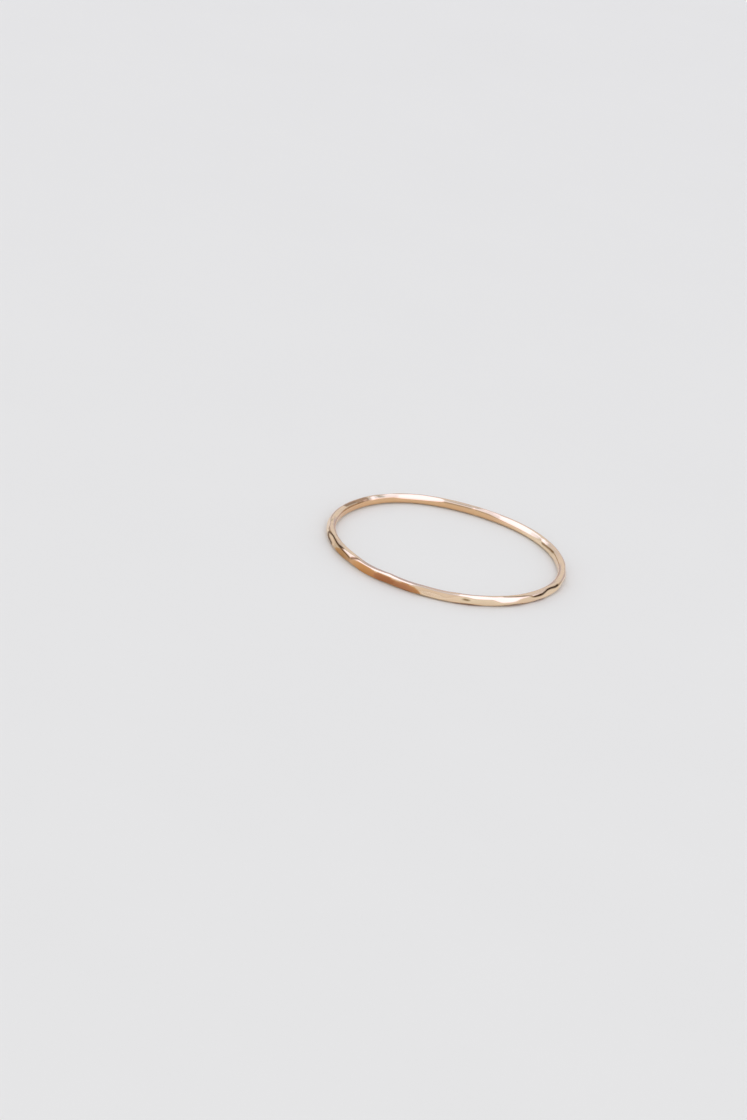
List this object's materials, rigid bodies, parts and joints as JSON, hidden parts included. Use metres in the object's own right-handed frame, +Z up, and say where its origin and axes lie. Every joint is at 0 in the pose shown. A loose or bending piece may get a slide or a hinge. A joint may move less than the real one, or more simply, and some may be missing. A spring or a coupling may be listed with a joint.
{
  "type": "stackable ring",
  "caption": "Thin finger ring of round gold wire, hammered into soft flats all round, worn alone or stacked with others.",
  "frame": {"origin": "middle of the finger hole, on the surface that the ring lies on", "axes": "+Z up along the ring's axis; -Y is the front, the side towards the viewer; +X is to the viewer's right"},
  "size_m": [0.0188, 0.0186, 0.0008],
  "materials": {
    "gold": "polished, hammered champagne-rose gold"
  },
  "bodies": {
    "root": {"ring_band": "gold"}
  },
  "joints": []
}
